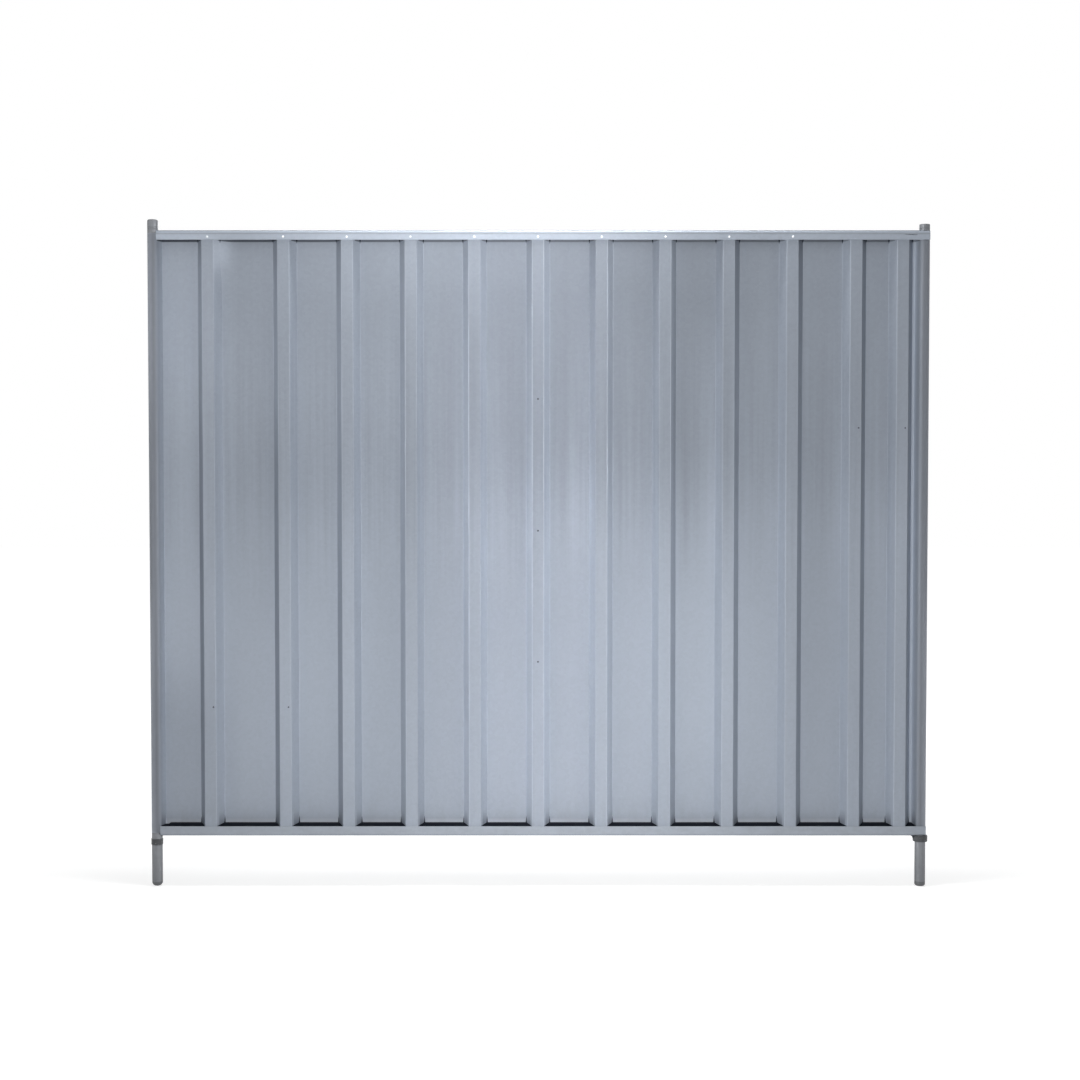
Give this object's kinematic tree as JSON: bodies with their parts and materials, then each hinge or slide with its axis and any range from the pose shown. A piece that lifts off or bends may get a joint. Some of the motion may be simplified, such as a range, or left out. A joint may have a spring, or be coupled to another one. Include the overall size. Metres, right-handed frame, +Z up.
{
  "type": "solid site fence panel",
  "caption": "Upright ribbed steel sheet panel in a frame of round posts and folded rails, with round legs that drop into foot blocks and short stubs for couplers.",
  "frame": {"origin": "middle of the overall width and depth, level with the leg ends", "axes": "X runs across the panel with the odd narrow rib spacing at +X, the ribbed front faces -Y, Z is up"},
  "size_m": [2.4724, 0.0458, 2.111],
  "materials": {
    "sheet": "galvanised steel sheet, blue-grey, semi-gloss",
    "rail": "folded galvanised steel strip, blue-grey, semi-gloss",
    "post_tube": "galvanised steel tube, dull neutral grey",
    "leg_tip": "galvanised steel plug, scuffed",
    "stop_ring": "dark grey paint, satin",
    "weld": "zinc-sprayed weld bead",
    "bright_rivet": "bright aluminium",
    "dark_rivet": "weathered aluminium"
  },
  "bodies": {
    "root": {"left_post": "post_tube", "right_post": "post_tube", "left_stub": "post_tube", "right_stub": "post_tube", "left_leg": "post_tube", "right_leg": "post_tube", "left_leg_tip": "leg_tip", "right_leg_tip": "leg_tip", "left_stop_ring": "stop_ring", "right_stop_ring": "stop_ring", "top_rail": "rail", "bottom_rail": "rail", "top_left_weld": "weld", "top_right_weld": "weld", "bottom_left_weld": "weld", "bottom_right_weld": "weld", "left_strip": "sheet", "left_sheet": "sheet", "right_sheet": "sheet", "right_strip": "sheet", "top_rail_rivets": "bright_rivet", "centre_lap_rivets": "dark_rivet", "crest_rivets": "dark_rivet"}
  },
  "joints": []
}
